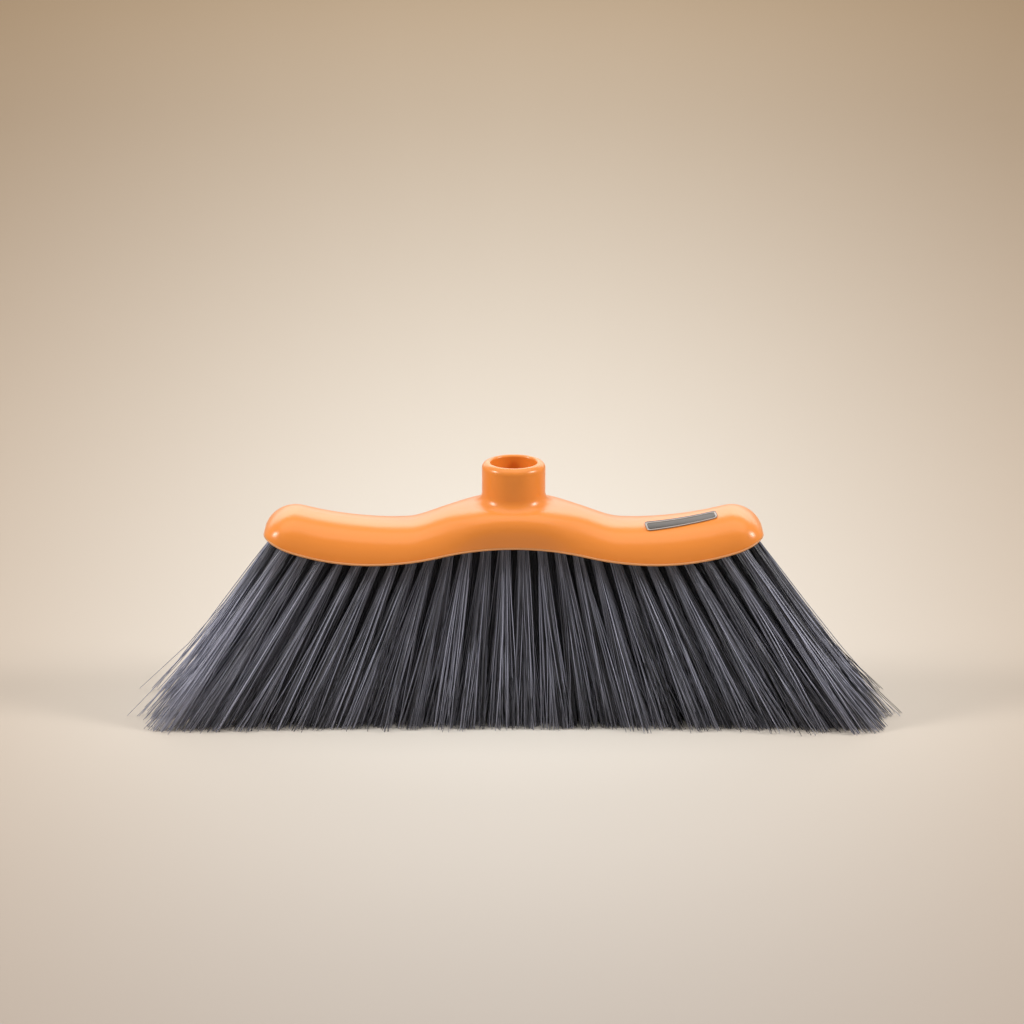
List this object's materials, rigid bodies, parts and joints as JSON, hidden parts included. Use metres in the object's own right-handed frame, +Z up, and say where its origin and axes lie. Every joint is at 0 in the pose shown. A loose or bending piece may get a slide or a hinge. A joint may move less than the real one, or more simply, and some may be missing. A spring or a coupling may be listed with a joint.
{
  "type": "broom head",
  "caption": "Indoor broom head: wavy glossy shell with a round threaded neck for a handle, and rows of dark bristle tufts that fan out to the floor.",
  "frame": {"origin": "on the floor, straight below the middle of the handle socket, in the middle of the bristles' footprint", "axes": "+X along the head towards the end with the badge, +Y from the front (the badge's side) to the back, +Z up along the handle socket"},
  "size_m": [0.3648, 0.0633, 0.1281],
  "materials": {
    "cover_plastic": "gloss",
    "badge_metal": "satin",
    "block_plastic": "matte",
    "bristle": "satin",
    "anchor_steel": "satin"
  },
  "bodies": {
    "root": {"cover": "cover_plastic", "badge": "badge_metal", "tuft_block": "block_plastic", "tuft_row_1": "bristle", "tuft_row_2": "bristle", "tuft_row_3": "bristle", "tuft_row_4": "bristle", "anchors_row_1": "anchor_steel", "anchors_row_2": "anchor_steel", "anchors_row_3": "anchor_steel", "anchors_row_4": "anchor_steel"}
  },
  "joints": []
}
